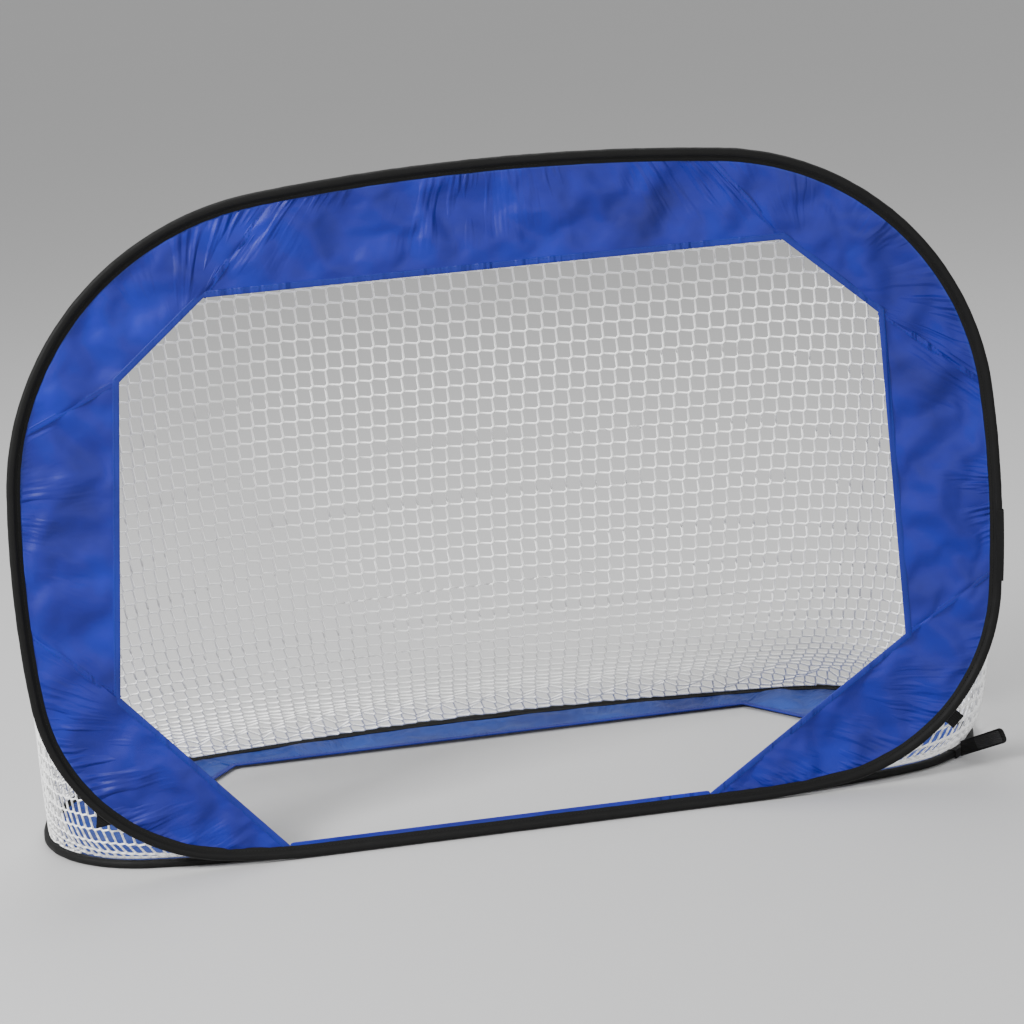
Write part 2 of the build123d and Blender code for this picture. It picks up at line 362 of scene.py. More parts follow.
@dataclass(frozen=True)
class Finishes:
    """Every finish of the goal, made once."""

    panel: bpy.types.Material
    base_panel: bpy.types.Material
    hem: bpy.types.Material
    binding: bpy.types.Material
    thread: bpy.types.Material
    blue_thread: bpy.types.Material
    twine: bpy.types.Material
    webbing: bpy.types.Material
    hook: bpy.types.Material
    steel: bpy.types.Material
    ferrule: bpy.types.Material

    @classmethod
    def make(cls) -> "Finishes":
        """Builds all the materials."""
        # pale is the colour of the painted edge highlight on the front and base panels.
        blue, deep, pale = tint(5, 22, 142), tint(2, 10, 104), tint(50, 86, 180)
        black, dusty = tint(5, 5, 5), tint(13, 13, 12)
        return cls(
            panel=Satin("panel_satin", blue, deep, pale).make(),
            base_panel=Satin("base_satin", tint(12, 60, 146), tint(4, 34, 112), pale).make(),
            hem=Satin("hem_satin", tint(5, 28, 132), tint(3, 20, 108), tint(5, 28, 132), gloss=0.5).make(),
            binding=Woven("binding_tape", black, dusty, rib=1.2 * MM, depth=0.12 * MM).make(),
            thread=Woven("black_thread", tint(14, 14, 13), tint(28, 28, 27), rib=0.6 * MM).make(),
            blue_thread=Woven("blue_thread", tint(10, 38, 126), tint(30, 62, 150), rib=0.6 * MM).make(),
            twine=Twine().make(),
            webbing=Woven("strap_webbing", black, tint(14, 14, 13), rib=1.9 * MM, depth=0.4 * MM).make(),
            hook=Woven("hook_tape", tint(26, 26, 27), tint(60, 60, 60), rib=1.4 * MM, depth=0.6 * MM).make(),
            steel=Steel("spring_strip", tint(122, 124, 130), 0.3).make(),
            ferrule=Steel("crimp_tube", tint(196, 198, 200), 0.22).make(),
        )


# ---- mesh helpers ----


def to_piece(bm: bmesh.types.BMesh, name: str, material: bpy.types.Material) -> bpy.types.Object:
    """Turns a bmesh into a smooth-shaded object at the origin.

    Args:
        bm: the mesh, which is freed.
        name: the piece's name.
        material: its finish.

    Returns:
        The new object.
    """
    mesh = bpy.data.meshes.new(name)
    bm.to_mesh(mesh)
    bm.free()
    mesh.shade_smooth()
    mesh.materials.append(material)
    piece = bpy.data.objects.new(name, mesh)
    bpy.context.scene.collection.objects.link(piece)
    return piece


def map_plain(bm: bmesh.types.BMesh) -> None:
    """Gives narrow cloth a map that keeps it clear of the painted edge highlight beside the binding."""
    sheet = bm.loops.layers.uv.new("cloth")
    for face in bm.faces:
        for corner in face.loops:
            corner[sheet].uv = (corner.vert.co.x, PLAIN_DEPTH)


def settle(piece: bpy.types.Object, growth: float, frames: int, hoop: "Hoop") -> None:
    """Lets a panel wrinkle as cloth that is cut a little too large for its pinned edges.

    Args:
        piece: the panel, a single layer.
        growth: how much larger the cloth is than its frame.
        frames: how many frames to run.
        hoop: the hoop that it is sewn into, which says how far it may stand from its plane.
    """
    rim = {v for e in piece.data.edges if e.use_seam for v in e.vertices}
    pins = piece.vertex_groups.new(name="pins")
    pins.add(sorted(rim), 1.0, "REPLACE")
    cloth = piece.modifiers.new("Cloth", "CLOTH")
    cloth.settings.quality = 5
    cloth.settings.mass = 0.15
    cloth.settings.tension_stiffness = 12
    cloth.settings.compression_stiffness = 12
    cloth.settings.shear_stiffness = 4
    cloth.settings.bending_stiffness = 0.02
    cloth.settings.shrink_min = -growth
    cloth.settings.vertex_group_mass = "pins"
    cloth.settings.effector_weights.gravity = 0.0
    for number in range(1, frames + 1):
        bpy.context.scene.frame_set(number)
    shaped = bpy.data.meshes.new_from_object(piece.evaluated_get(bpy.context.evaluated_depsgraph_get()))
    shaped.name = piece.data.name
    piece.modifiers.clear()
    piece.vertex_groups.clear()
    for vert in shaped.vertices:
        proud = (vert.co - Vector(hoop.origin)).dot(hoop.normal)
        vert.co += hoop.normal * (min(max(proud, -hoop.slump), hoop.swell) - proud)
    piece.data = shaped
    bpy.context.scene.frame_set(1)


# ---- the hoops ----


@dataclass(frozen=True)
class Hoop:
    """A hoop's outer edge: half a straight sill, then tangent arcs up the right side, mirrored."""

    name: str
    body: Body
    origin: tuple
    up: tuple
    sill_half: float
    radii: tuple
    turns: tuple
    slump: float
    swell: float
    sleeve: float = 10 * MM
    binding: float = 16 * MM

    @property
    def normal(self) -> Vector:
        """The side of the hoop's plane that faces the player or the sky."""
        return Vector((1, 0, 0)).cross(Vector(self.up))

    @property
    def runs(self) -> list[tuple[float, float, float]]:
        """Length, radius and turn in radians of each run up the right side; the sill has no radius."""
        x, heading = self.sill_half, 0.0
        found = [(self.sill_half, 0.0, 0.0)]
        for radius, turn in zip(self.radii, self.turns):
            found.append((radius * radians(turn), radius, radians(turn)))
            x += radius * (sin(heading + radians(turn)) - sin(heading))
            heading += radians(turn)
        crown = x / sin(pi - heading)
        return found + [(crown * (pi - heading), crown, pi - heading)]

    @property
    def around(self) -> float:
        """Length of the whole outer edge."""
        return 2 * sum(length for length, _, _ in self.runs)

    def flat(self, along: float, inset: float = 0.0) -> tuple[float, float]:
        """A point in the hoop's own plane.

        Args:
            along: distance from the middle of the sill, to the right and round.
            inset: distance in from the outer edge.

        Returns:
            The point, right and up.
        """
        along %= self.around
        side = 1.0
        if along > self.around / 2:
            along, side = self.around - along, -1.0
        x = y = heading = 0.0
        for length, radius, turn in self.runs:
            share = min(1.0, along / length)
            x += share * length if not radius else radius * (sin(heading + share * turn) - sin(heading))
            y += 0.0 if not radius else radius * (cos(heading) - cos(heading + share * turn))
            heading += share * turn
            along -= length
            if along <= 0:
                break
        return side * (x - inset * sin(heading)), y + inset * cos(heading)

    def lift(self, x: float, y: float, proud: float = 0.0) -> Vector:
        """Takes a point of the hoop's own plane into the frame, proud of the plane."""
        return Vector(self.origin) + Vector((x, 0, 0)) + y * Vector(self.up) + proud * self.normal

    def at(self, along: float, inset: float = 0.0, proud: float = 0.0) -> Vector:
        """A point of the frame at a distance along the hoop, in from its edge and proud of its plane."""
        return self.lift(*self.flat(along, inset), proud)

    def meets(self, seam: tuple, inset: float) -> float:
        """Finds where a seam's line crosses the hoop.

        Args:
            seam: the seam's inner and outer points, in the hoop's own plane.
            inset: the inset of the edge that it crosses.

        Returns:
            The distance along the hoop.
        """
        start, end = Vector(seam[0]), Vector(seam[1])
        line = (end - start).normalized()
        steps = 1200
        best, found = 1.0, 0.0
        for number in range(steps):
            along = self.around * number / steps
            to = Vector(self.flat(along, inset)) - start
            off = abs(line.cross(to)) if to.dot(line) > 0 else 1.0
            if off < best:
                best, found = off, along
        return found

    def sweep(self, section: list[tuple[float, float]], step: float) -> bmesh.types.BMesh:
        """Carries a closed section round the hoop: straight along the sill, spun up each arc, mirrored.

        Args:
            section: its points, as inset and proud distances.
            step: the length of one face along the hoop.

        Returns:
            The swept tube.
        """
        bm = bmesh.new()
        ring = [bm.verts.new(self.at(0, inset, proud)) for inset, proud in section]
        geometry = ring + [bm.edges.new(pair) for pair in zip(ring, ring[1:] + ring[:1])]
        x = y = heading = 0.0
        for length, radius, turn in self.runs:
            steps = max(2, round(length / step))
            centre = self.lift(x - radius * sin(heading), y + radius * cos(heading))
            slide = Vector((length / steps, 0, 0)) if not radius else Vector((0, 0, 0))
            made = bmesh.ops.spin(
                bm, geom=geometry, cent=centre, axis=self.normal, dvec=slide, angle=turn, steps=steps,
                use_merge=False, use_duplicate=False,
            )
            geometry = made["geom_last"]
            x += length if not radius else radius * (sin(heading + turn) - sin(heading))
            y += 0.0 if not radius else radius * (cos(heading) - cos(heading + turn))
            heading += turn
        bmesh.ops.mirror(bm, geom=bm.verts[:] + bm.edges[:] + bm.faces[:], axis="X", merge_dist=0.02 * MM)
        bmesh.ops.remove_doubles(bm, verts=bm.verts[:], dist=0.02 * MM)
        bmesh.ops.recalc_face_normals(bm, faces=bm.faces[:])
        return bm


# ---- stitching ----


@dataclass
class Stitching:
    """Rows of lockstitch, each stitch a small rounded bar sunk into the cloth."""

    name: str
    material: bpy.types.Material
    length: float = 3.2 * MM
    pitch: float = 4.6 * MM
    width: float = 0.42 * MM
    bm: bmesh.types.BMesh = field(default_factory=bmesh.new)
    bar: bpy.types.Mesh = field(init=False)

    def __post_init__(self) -> None:
        """Makes the one stitch that the rows repeat."""
        self.bar = bpy.data.meshes.new("stitch")
        one = bmesh.new()
        size = Matrix.Diagonal((self.width, self.width, self.length / 2, 1))
        bmesh.ops.create_uvsphere(one, u_segments=5, v_segments=4, radius=1, matrix=size)
        one.to_mesh(self.bar)
        one.free()

    def row(self, path: Callable[[float], Vector], reach: float, normal: Vector) -> None:
        """Sews one row.

        Args:
            path: the point at each distance along the row.
            reach: the row's length.
            normal: the direction that the stitches stand proud in.
        """
        for number in range(int(reach / self.pitch)):
            middle = (number + 0.5) * self.pitch
            point = path(middle)
            ahead = (path(middle + self.length / 2) - path(middle - self.length / 2)).normalized()
            aside = normal.cross(ahead).normalized()
            turned = Matrix((aside, ahead.cross(aside), ahead)).transposed().to_4x4()
            placed = Matrix.Translation(point) @ turned
            self.bar.transform(placed)
            self.bm.from_mesh(self.bar)
            self.bar.transform(placed.inverted())

    def done(self, body: Body) -> bpy.types.Object:
        """Makes the piece and hangs it on its body."""
        piece = to_piece(self.bm, self.name, self.material)
        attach(piece, body.value)
        return piece


# ---- binding ----


@dataclass
class Binding:
    """The black sleeve sewn round a hoop: a tube over the spring strip and a flat flange."""

    hoop: Hoop
    finishes: Finishes
    half: float = 4.95 * MM
    round_over: float = 4.2 * MM
    flange_half: float = 1.5 * MM
    step: float = 7 * MM
    pucker: float = 0.35 * MM
    stitch_inset: float = 12.6 * MM

    def section(self) -> list[tuple[float, float]]:
        """The sleeve's section, as inset and proud distances, from the flange's tip round the tube."""
        flat, deep = self.half - self.round_over, self.hoop.sleeve - self.round_over
        start = asin((self.flange_half - flat) / self.round_over)
        top = [(self.hoop.binding, 0.6 * self.flange_half), (self.hoop.binding - 0.5 * MM, self.flange_half)]
        for middle, first, last in ((deep, start, pi / 2), (self.round_over, pi / 2, pi)):
            for share in (0, 0.25, 0.5, 0.75, 1):
                turn = first + share * (last - first)
                top.append((middle + self.round_over * cos(turn), flat + self.round_over * sin(turn)))
        return top + [(inset, -proud) for inset, proud in reversed(top)]

    def build(self) -> bpy.types.Object:
        """Sweeps the sleeve, puckers it along its stitching and dresses it."""
        bm = self.hoop.sweep(self.section(), self.step)
        bm.normal_update()
        for vert in bm.verts:
            fine = noise.noise(vert.co * 75) + 0.6 * noise.noise(vert.co * 190 + Vector((5, 5, 5)))
            shift = vert.normal * (fine * self.pucker)
            shift.z = max(shift.z, 0.0) if vert.co.z < 2 * MM else shift.z
            vert.co += shift
        piece = to_piece(bm, f"{self.hoop.name}_sleeve", self.finishes.binding)
        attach(piece, self.hoop.body.value)
        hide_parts(f"{self.hoop.name}_binding")
        return piece

    def stitch(self) -> bpy.types.Object:
        """Sews the flange on both faces."""
        rows = Stitching(f"{self.hoop.name}_binding_stitching", self.finishes.thread)
        for face in (1, -1):
            rows.row(
                lambda along: self.hoop.at(along, self.stitch_inset, face * self.flange_half * 1.05),
                self.hoop.around, face * self.hoop.normal,
            )
        return rows.done(self.hoop.body)


# ---- fabric ----


@dataclass
class Panel:
    """One fabric panel between two seams, from the mouth's edge out into the binding."""

    hoop: Hoop
    name: str
    first: tuple
    second: tuple
    material: bpy.types.Material
    grid: float = 8 * MM
    tuck: float = 11 * MM
    thickness: float = 0.7 * MM
    growth: float = 0.03
    held: float = 8.5 * MM
    held_side: float = 0.499
    loose: float = 1.6 * MM
    least_deep: float = 5 * MM
    cloth_deep: float = 30 * MM
    frames: int = 28

    def build(self) -> bpy.types.Object:
        """Lays out the panel's grid, wrinkles it and gives it its thickness."""
        start, end = self.hoop.meets(self.first, self.tuck), self.hoop.meets(self.second, self.tuck)
        end -= self.hoop.around if end > start else 0
        inner = [Vector(self.first[0]), Vector(self.second[0])]
        wide = (abs(start - end) + (inner[1] - inner[0]).length) / 2
        outer = Vector(self.hoop.flat((start + end) / 2, self.tuck))
        deep = max((outer - (inner[0] + inner[1]) / 2).length, self.least_deep)
        bm = bmesh.new()
        sheet = bm.loops.layers.uv.new("cloth")
        columns, rows = max(6, round(wide / self.grid)), max(2, round(deep / self.grid))
        bmesh.ops.create_grid(bm, x_segments=columns, y_segments=rows, size=0.5)
        flat = {vert: (vert.co.x + 0.5, vert.co.y + 0.5) for vert in bm.verts}
        for edge in bm.edges:
            ends = [vert.co for vert in edge.verts]
            edge.seam = all(abs(co.y) > 0.5 - self.held / deep or abs(co.x) > self.held_side for co in ends)
        for vert, (u, v) in flat.items():
            outside = Vector(self.hoop.flat(start + (end - start) * u, self.tuck))
            point = inner[0].lerp(inner[1], u).lerp(outside, v)
            loose = self.loose * noise.noise(Vector((point.x, point.y, 0.3)) * 24)
            swell = 0.0 if vert.is_boundary else loose
            vert.co = self.hoop.lift(point.x, point.y, swell)
        for face in bm.faces:
            for corner in face.loops:
                u, v = flat[corner.vert]
                corner[sheet].uv = (u * wide, (1 - v) * deep - (self.hoop.binding - self.tuck))
        area = sum(face.calc_area() for face in bm.faces)
        piece = to_piece(bm, self.name, self.material)
        if deep > self.cloth_deep:
            settle(piece, self.growth, self.frames, self.hoop)
        solid = piece.modifiers.new("Thickness", "SOLIDIFY")
        solid.thickness, solid.offset = self.thickness, 0.0
        smooth = piece.modifiers.new("Smooth", "SUBSURF")
        smooth.levels = smooth.render_levels = 1
        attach(piece, self.hoop.body.value)
        spans = [
            (Vector(self.hoop.flat(start + (end - start) * u, self.tuck)) - inner[0].lerp(inner[1], u)).length
            for u in (0, 0.25, 0.5, 0.75, 1)
        ]
        wide, deep = max(abs(start - end), (inner[1] - inner[0]).length), max(spans)
        min(area, wide * deep)
        return piece


@dataclass
class Fabric:
    """All the cloth of one hoop: panels, felled seams, hem and their topstitching."""

    hoop: Hoop
    seams: list[tuple]
    names: list[str]
    finishes: Finishes
    panel_finish: bpy.types.Material
    sill_top: float = 21 * MM
    fell_half: float = 3.6 * MM
    fell_proud: float = 0.55 * MM
    fell_tuck: float = 2 * MM
    hem_width: float = 7 * MM
    hem_proud: float = 1 * MM
    hem_thickness: float = 2.2 * MM
    hem_step: float = 12 * MM
    thread_sink: float = 0.05 * MM

    def panels(self) -> None:
        """Builds every panel, and the narrow band along the sill."""
        for name, first, second in zip(self.names, self.seams, self.seams[1:]):
            full = f"{self.hoop.name}_{name}"
            piece = Panel(self.hoop, f"{full}_cloth", first, second, self.panel_finish).build()
            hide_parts(full)
            log.info("%s: %d faces", piece.name, len(piece.data.polygons))
        right, left = self.seams[-1][0][0], self.seams[0][0][0]
        ends = [((x, self.sill_top), (x, -1.0)) for x in (right, left)]
        piece = Panel(self.hoop, f"{self.hoop.name}_sill_cloth", ends[0], ends[1], self.panel_finish).build()
        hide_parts(f"{self.hoop.name}_sill_band")

    def hem(self) -> bpy.types.Object:
        """Folds the hem tape along the mouth, from one end of the sill round to the other."""
        corners = [Vector(inner) for inner, _ in self.seams]
        rails = [self.parallel(corners, distance) for distance in (-self.hem_proud, self.hem_width)]
        bm = bmesh.new()
        pairs = [[bm.verts.new(self.hoop.lift(*rail[0])) for rail in rails]]
        for last in range(1, len(corners)):
            steps = max(2, round((corners[last] - corners[last - 1]).length / self.hem_step))
            for number in range(1, steps + 1):
                spots = [rail[last - 1].lerp(rail[last], number / steps) for rail in rails]
                pairs.append([bm.verts.new(self.hoop.lift(*spot)) for spot in spots])
        for near, far in zip(pairs, pairs[1:]):
            bm.faces.new((*near, *reversed(far)))
        map_plain(bm)
        bmesh.ops.recalc_face_normals(bm, faces=bm.faces[:])
        piece = to_piece(bm, f"{self.hoop.name}_hem", self.finishes.hem)
        solid = piece.modifiers.new("Thickness", "SOLIDIFY")
        solid.thickness, solid.offset = self.hem_thickness, 0.0
        edges = piece.modifiers.new("Edges", "BEVEL")
        edges.width, edges.segments = 0.7 * MM, 2
        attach(piece, self.hoop.body.value)
        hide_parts(f"{self.hoop.name}_hem_tape")
        return piece

    def parallel(self, corners: list[Vector], distance: float) -> list[Vector]:
        """Moves the mouth's outline outwards, with mitred corners.

        Args:
            corners: the mouth's corners, clockwise from the left end of the sill.
            distance: how far out.

        Returns:
            The moved corners.
        """
        moved = []
        for number, corner in enumerate(corners):
            ways = []
            for a, b in ((number - 1, number), (number, number + 1)):
                if 0 <= a and b < len(corners):
                    along = (corners[b] - corners[a]).normalized()
                    ways.append(Vector((-along.y, along.x)))
            mitre = sum(ways, Vector((0, 0))).normalized()
            moved.append(corner + mitre * (distance / mitre.dot(ways[0])))
        return moved

    def fells(self) -> bpy.types.Object:
        """Lays the felled seams between the panels, from the mouth to the binding."""
        bm = bmesh.new()
        for seam in self.seams[1:-1]:
            start, end, aside = self.seam_line(seam)
            length = (end - start).length
            matrix = Matrix.Translation(self.hoop.lift(*((start + end) / 2)))
            along = self.hoop.lift(*end) - self.hoop.lift(*start)
            across = self.hoop.lift(*aside) - self.hoop.lift(0, 0)
            turned = Matrix((across.normalized(), along.normalized(), across.cross(along).normalized()))
            size = Matrix.Diagonal((self.fell_half, length / 2, self.fell_proud, 1))
            bmesh.ops.create_cube(bm, size=2, matrix=matrix @ turned.transposed().to_4x4() @ size)
        bmesh.ops.bevel(
            bm, geom=bm.edges[:], offset=0.5 * MM, offset_type="OFFSET", segments=2, profile=0.5,
            affect="EDGES", clamp_overlap=True, material=-1,
        )
        map_plain(bm)
        piece = to_piece(bm, f"{self.hoop.name}_felled_seams", self.panel_finish)
        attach(piece, self.hoop.body.value)
        return piece

    def seam_line(self, seam: tuple) -> tuple[Vector, Vector, Vector]:
        """A seam's ends in the hoop's plane, and the direction across it."""
        start = Vector(seam[0])
        inset = self.hoop.binding - self.fell_tuck
        end = Vector(self.hoop.flat(self.hoop.meets(seam, inset), inset))
        along = (end - start).normalized()
        return start, end, Vector((-along.y, along.x))

    def topstitch(self) -> bpy.types.Object:
        """Sews two rows along each felled seam and one round the hem, on both faces."""
        rows = Stitching(f"{self.hoop.name}_topstitching", self.finishes.blue_thread, pitch=4.4 * MM)
        corners = [Vector(inner) for inner, _ in self.seams]
        rail = self.parallel(corners, self.hem_width - 1.8 * MM)
        for face in (1, -1):
            for first, second in zip(rail, rail[1:]):
                self.straight(rows, first, second, face * (self.hem_thickness / 2 + self.thread_sink), face)
            for seam in self.seams[1:-1]:
                start, end, aside = self.seam_line(seam)
                begin = start.lerp(end, self.hem_width / (end - start).length)
                for side in (-1, 1):
                    shift = side * 0.62 * self.fell_half * aside
                    proud = face * (self.fell_proud + self.thread_sink)
                    self.straight(rows, begin + shift, end + shift, proud, face)
        return rows.done(self.hoop.body)

    def straight(self, rows: Stitching, first: Vector, second: Vector, proud: float, face: int) -> None:
        """Sews one straight row between two points of the hoop's plane."""
        length = (second - first).length
        rows.row(
            lambda along: self.hoop.lift(*first.lerp(second, along / length), proud), length,
            face * self.hoop.normal,
        )


# ---- net ----


@dataclass
class Net:
    """A knotless net, sewn to the front sleeve and gathered onto the rear of the base sleeve.

    Its columns fan back about the hinge line, and its rows start level with the front hoop's crown.
    """

    front: Hoop
    base: Hoop
    material: bpy.types.Material
    hinge: tuple = (0, -4.7 * MM, 12.5 * MM)
    inset: float = 8 * MM
    reach: tuple = (
        (0, 0.803), (8, 0.562), (20, 0.415), (35, 0.330), (52, 0.302), (70, 0.325), (90, 0.456),
    )
    columns: int = 140
    mesh: float = 21.5 * MM
    twine: float = 3.3 * MM
    foot: float = 0.42
    draw_in: float = 1.27
    join_wide: float = 0.09
    join_high: float = 0.07
    gather: float = 0.12
    slack: float = 0.055
    full_length: float = 0.9
    least_gather: float = 20 * MM
    pleat: float = 5.5 * MM
    loose: float = 2.2 * MM
    rear_held: float = 30 * MM
    front_held: float = 50 * MM
    level: float = 0.9
    skew: float = 1.4
    fold_power: float = 0.93
    fold_foot: float = 0.05
    bands: tuple = (0, 3.5, 8, 14, 21, 29, 38, 48, 58, 68, 79, 90)
    angles: np.ndarray = field(init=False)
    lines: list = field(init=False)
    cells: list[float] = field(default_factory=list)

    def __post_init__(self) -> None:
        """Works out the columns' lines down the net."""
        self.angles = np.radians(np.linspace(0, 90, 121))
        self.lines = [self.column(number / 280) for number in range(281)]

    def reach_at(self, angle: np.ndarray) -> np.ndarray:
        """Distance of the middle of the net from the hinge line, smooth through the listed ones."""
        at, far = (np.array(column, float) for column in zip(*self.reach))
        slope = np.gradient(np.log(far), at)
        place = np.degrees(angle)
        left = np.clip(np.searchsorted(at, place, "right") - 1, 0, len(at) - 2)
        span = at[left + 1] - at[left]
        t = (place - at[left]) / span
        rise = (2 * t**3 - 3 * t**2 + 1) * np.log(far[left]) + (3 * t**2 - 2 * t**3) * np.log(far[left + 1])
        lean = (t**3 - 2 * t**2 + t) * span * slope[left] + (t**3 - t**2) * span * slope[left + 1]
        return np.exp(rise + lean)

    def column(self, share: float) -> tuple[np.ndarray, np.ndarray]:
        """One column of the net.

        Args:
            share: its place, from the left foot to the right one, as a share of the front hoop.

        Returns:
            Points down the column, and the distance of each from the front hoop.
        """
        side = 1 - 2 * share
        spots = []
        for hoop, draw in ((self.front, 1.0), (self.base, self.draw_in)):
            half = hoop.around / 2 - self.foot
            drawn = draw * side + (1 - draw) * side * abs(side)
            spots.append(hoop.flat(hoop.around / 2 + drawn * half, self.inset))
        crowns = [hoop.flat(hoop.around / 2)[1] for hoop in (self.front, self.base)]
        back = self.angles / (pi / 2)
        x = spots[0][0] * (1 - back) + spots[1][0] * back
        height = spots[0][1] / crowns[0] * (1 - back) + spots[1][1] / crowns[1] * back
        away = height * self.reach_at(self.angles)
        fan = np.stack([x, away * np.sin(self.angles), away * np.cos(self.angles)], 1)
        points = np.array(self.hinge) + fan
        steps = np.linalg.norm(np.diff(points, axis=0), axis=1)
        return points, np.concatenate([[0], np.cumsum(steps)])

    def spot(self, across: float, down: float) -> tuple[Vector, float]:
        """Where a point of the flat net hangs.

        Args:
            across: its column.
            down: its distance below the crown's row, along the net.

        Returns:
            Its place, and how far it is outside the net's sewn edges.
        """
        along = min(max(across / self.columns, 0.0), 1.0)
        crown = self.front.around / 2
        drop = self.front.flat(crown)[1] - self.front.flat(crown + (1 - 2 * along) * (crown - self.foot))[1]
        down -= self.level * drop
        before, down = -down, max(down, 0.0)
        along -= self.skew / self.columns * sin(pi * min(1.0, down)) * sin(pi * along) ** 2
        place = along * (len(self.lines) - 1)
        left = min(int(place), len(self.lines) - 2)
        share = place - left
        far = self.lines[left][1][-1] * (1 - share) + self.lines[left + 1][1][-1] * share
        fullness = min(1.0, far / self.full_length)
        gather, slack = self.gather * fullness, self.slack * fullness**2
        held = down
        if down > far - gather:
            held = far - gather + (down - far + gather) * gather / (gather + slack)
        ends = []
        for number in (left, left + 1):
            points, lengths = self.lines[number]
            at = min(held, far) / far * lengths[-1]
            ends.append(Vector([float(np.interp(at, lengths, points[:, axis])) for axis in range(3)]))
        point = ends[0].lerp(ends[1], share)
        bunch = min(1.0, max(0.0, (held - far + gather) / gather)) if gather > self.least_gather else 0.0
        fold = sin(across * 1.9 + down * 60) + noise.noise(Vector((across * 0.6, down * 25, 1.0)))
        edge = 1 - min(1.0, max(0.0, (held - far + self.rear_held) / self.rear_held))
        point.z += self.pleat * bunch * edge * fold
        loose = noise.noise(Vector((across * 0.35, down * 16, 7.0))) * self.loose
        point += Vector((loose * 0.4, loose, 0)) * min(1.0, down / self.front_held) * edge
        return point, max(held - far, before)

    def flat_mesh(self) -> bmesh.types.BMesh:
        """One six-sided mesh, repeated by doubling into the whole flat net."""
        a, b = self.join_wide, self.join_high
        bm = bmesh.new()
        corners = ((-a, b), (a, -b), (1 - a, b), (1 + a, 1 - b), (1 - a, 1 + b), (a, 1 - b))
        bm.faces.new([bm.verts.new((x, y, 0)) for x, y in corners])
        for axis, doublings in ((Vector((1, 0, 0)), 8), (Vector((0, 1, 0)), 6)):
            for power in range(doublings):
                made = bmesh.ops.duplicate(bm, geom=bm.verts[:] + bm.edges[:] + bm.faces[:])["geom"]
                fresh = [g for g in made if isinstance(g, bmesh.types.BMVert)]
                bmesh.ops.translate(bm, verts=fresh, vec=axis * 2**power)
            spare = [f for f in bm.faces if f.calc_center_median().x > self.columns]
            bmesh.ops.delete(bm, geom=spare, context="FACES")
        bmesh.ops.remove_doubles(bm, verts=bm.verts[:], dist=0.01)
        return bm

    def behind(self, point: Vector) -> float:
        """A point's angle behind the front hoop about the hinge line, from 0 to just under 90 degrees."""
        away = point - Vector(self.hinge)
        return min(max(degrees(atan2(away.y, away.z)), 0.0), 90 - 1e-6)

    def twine_area(self) -> float:
        """Half the surface of the twine round one cell, measured on the net while it still lies flat."""
        bm = self.flat_mesh()
        cells = len(bm.faces)
        bmesh.ops.scale(bm, verts=bm.verts[:], vec=(self.mesh, self.mesh, self.mesh))
        self.thicken(bm)
        area = sum(face.calc_area() for face in bm.faces) / 2
        bm.free()
        return area / cells

    def thicken(self, bm: bmesh.types.BMesh) -> None:
        """Turns a net's edges into twine."""
        bm.normal_update()
        bmesh.ops.wireframe(
            bm, faces=bm.faces[:], thickness=self.twine, offset=0.0, use_replace=True, use_boundary=True,
            use_even_offset=False,
        )

    def strands(self) -> bmesh.types.BMesh:
        """Hangs the flat net between the hoops and turns its edges into twine."""
        bm = self.flat_mesh()
        past = {}
        for vert in bm.verts:
            vert.co, past[vert] = self.spot(vert.co.x, vert.co.y * self.mesh)
        spare = [f for f in bm.faces if min(past[v] for v in f.verts) > -0.35 * self.mesh]
        bmesh.ops.delete(bm, geom=spare, context="FACES")
        self.cells = [self.behind(face.calc_center_median()) for face in bm.faces]
        bmesh.ops.remove_doubles(bm, verts=bm.verts[:], dist=0.3 * MM)
        bmesh.ops.dissolve_degenerate(bm, edges=bm.edges[:], dist=0.3 * MM)
        self.thicken(bm)
        return bm

    def build(self) -> list[bpy.types.Object]:
        """Hangs the net between the hoops and cuts it into strips by their angle behind the front hoop.

        Returns:
            The strips.
        """
        whole = self.strands()
        per_cell = self.twine_area()
        strips = []
        for number, (upper, lower) in enumerate(zip(self.bands, self.bands[1:]), 1):
            bm = whole.copy()
            for angle, keep_below in ((upper, True), (lower, False)):
                lean = radians(angle)
                way = Vector((0, cos(lean), -sin(lean)))
                bmesh.ops.bisect_plane(
                    bm, geom=bm.verts[:] + bm.edges[:] + bm.faces[:], plane_co=self.hinge, plane_no=way,
                    clear_inner=keep_below and angle > 0, clear_outer=not keep_below and angle < 90,
                )
                bmesh.ops.holes_fill(bm, edges=[edge for edge in bm.edges if edge.is_boundary], sides=0)
            hung = sum(face.calc_area() for face in bm.faces) / 2
            strip = to_piece(bm, f"net_strip_{number:02d}", self.material)
            self.hang(strip, upper, lower)
            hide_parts("goal_net")
            cut = sum(upper <= angle < lower for angle in self.cells)
            wide = self.columns * self.mesh
            area = cut * per_cell
            cut * self.mesh**2 / wide
            log.info("%s: %d cells, hung over cut %.3f", strip.name, cut, hung / area)
            strips.append(strip)
            log.info("%s: %d faces", strip.name, len(strip.data.polygons))
        whole.free()
        return strips

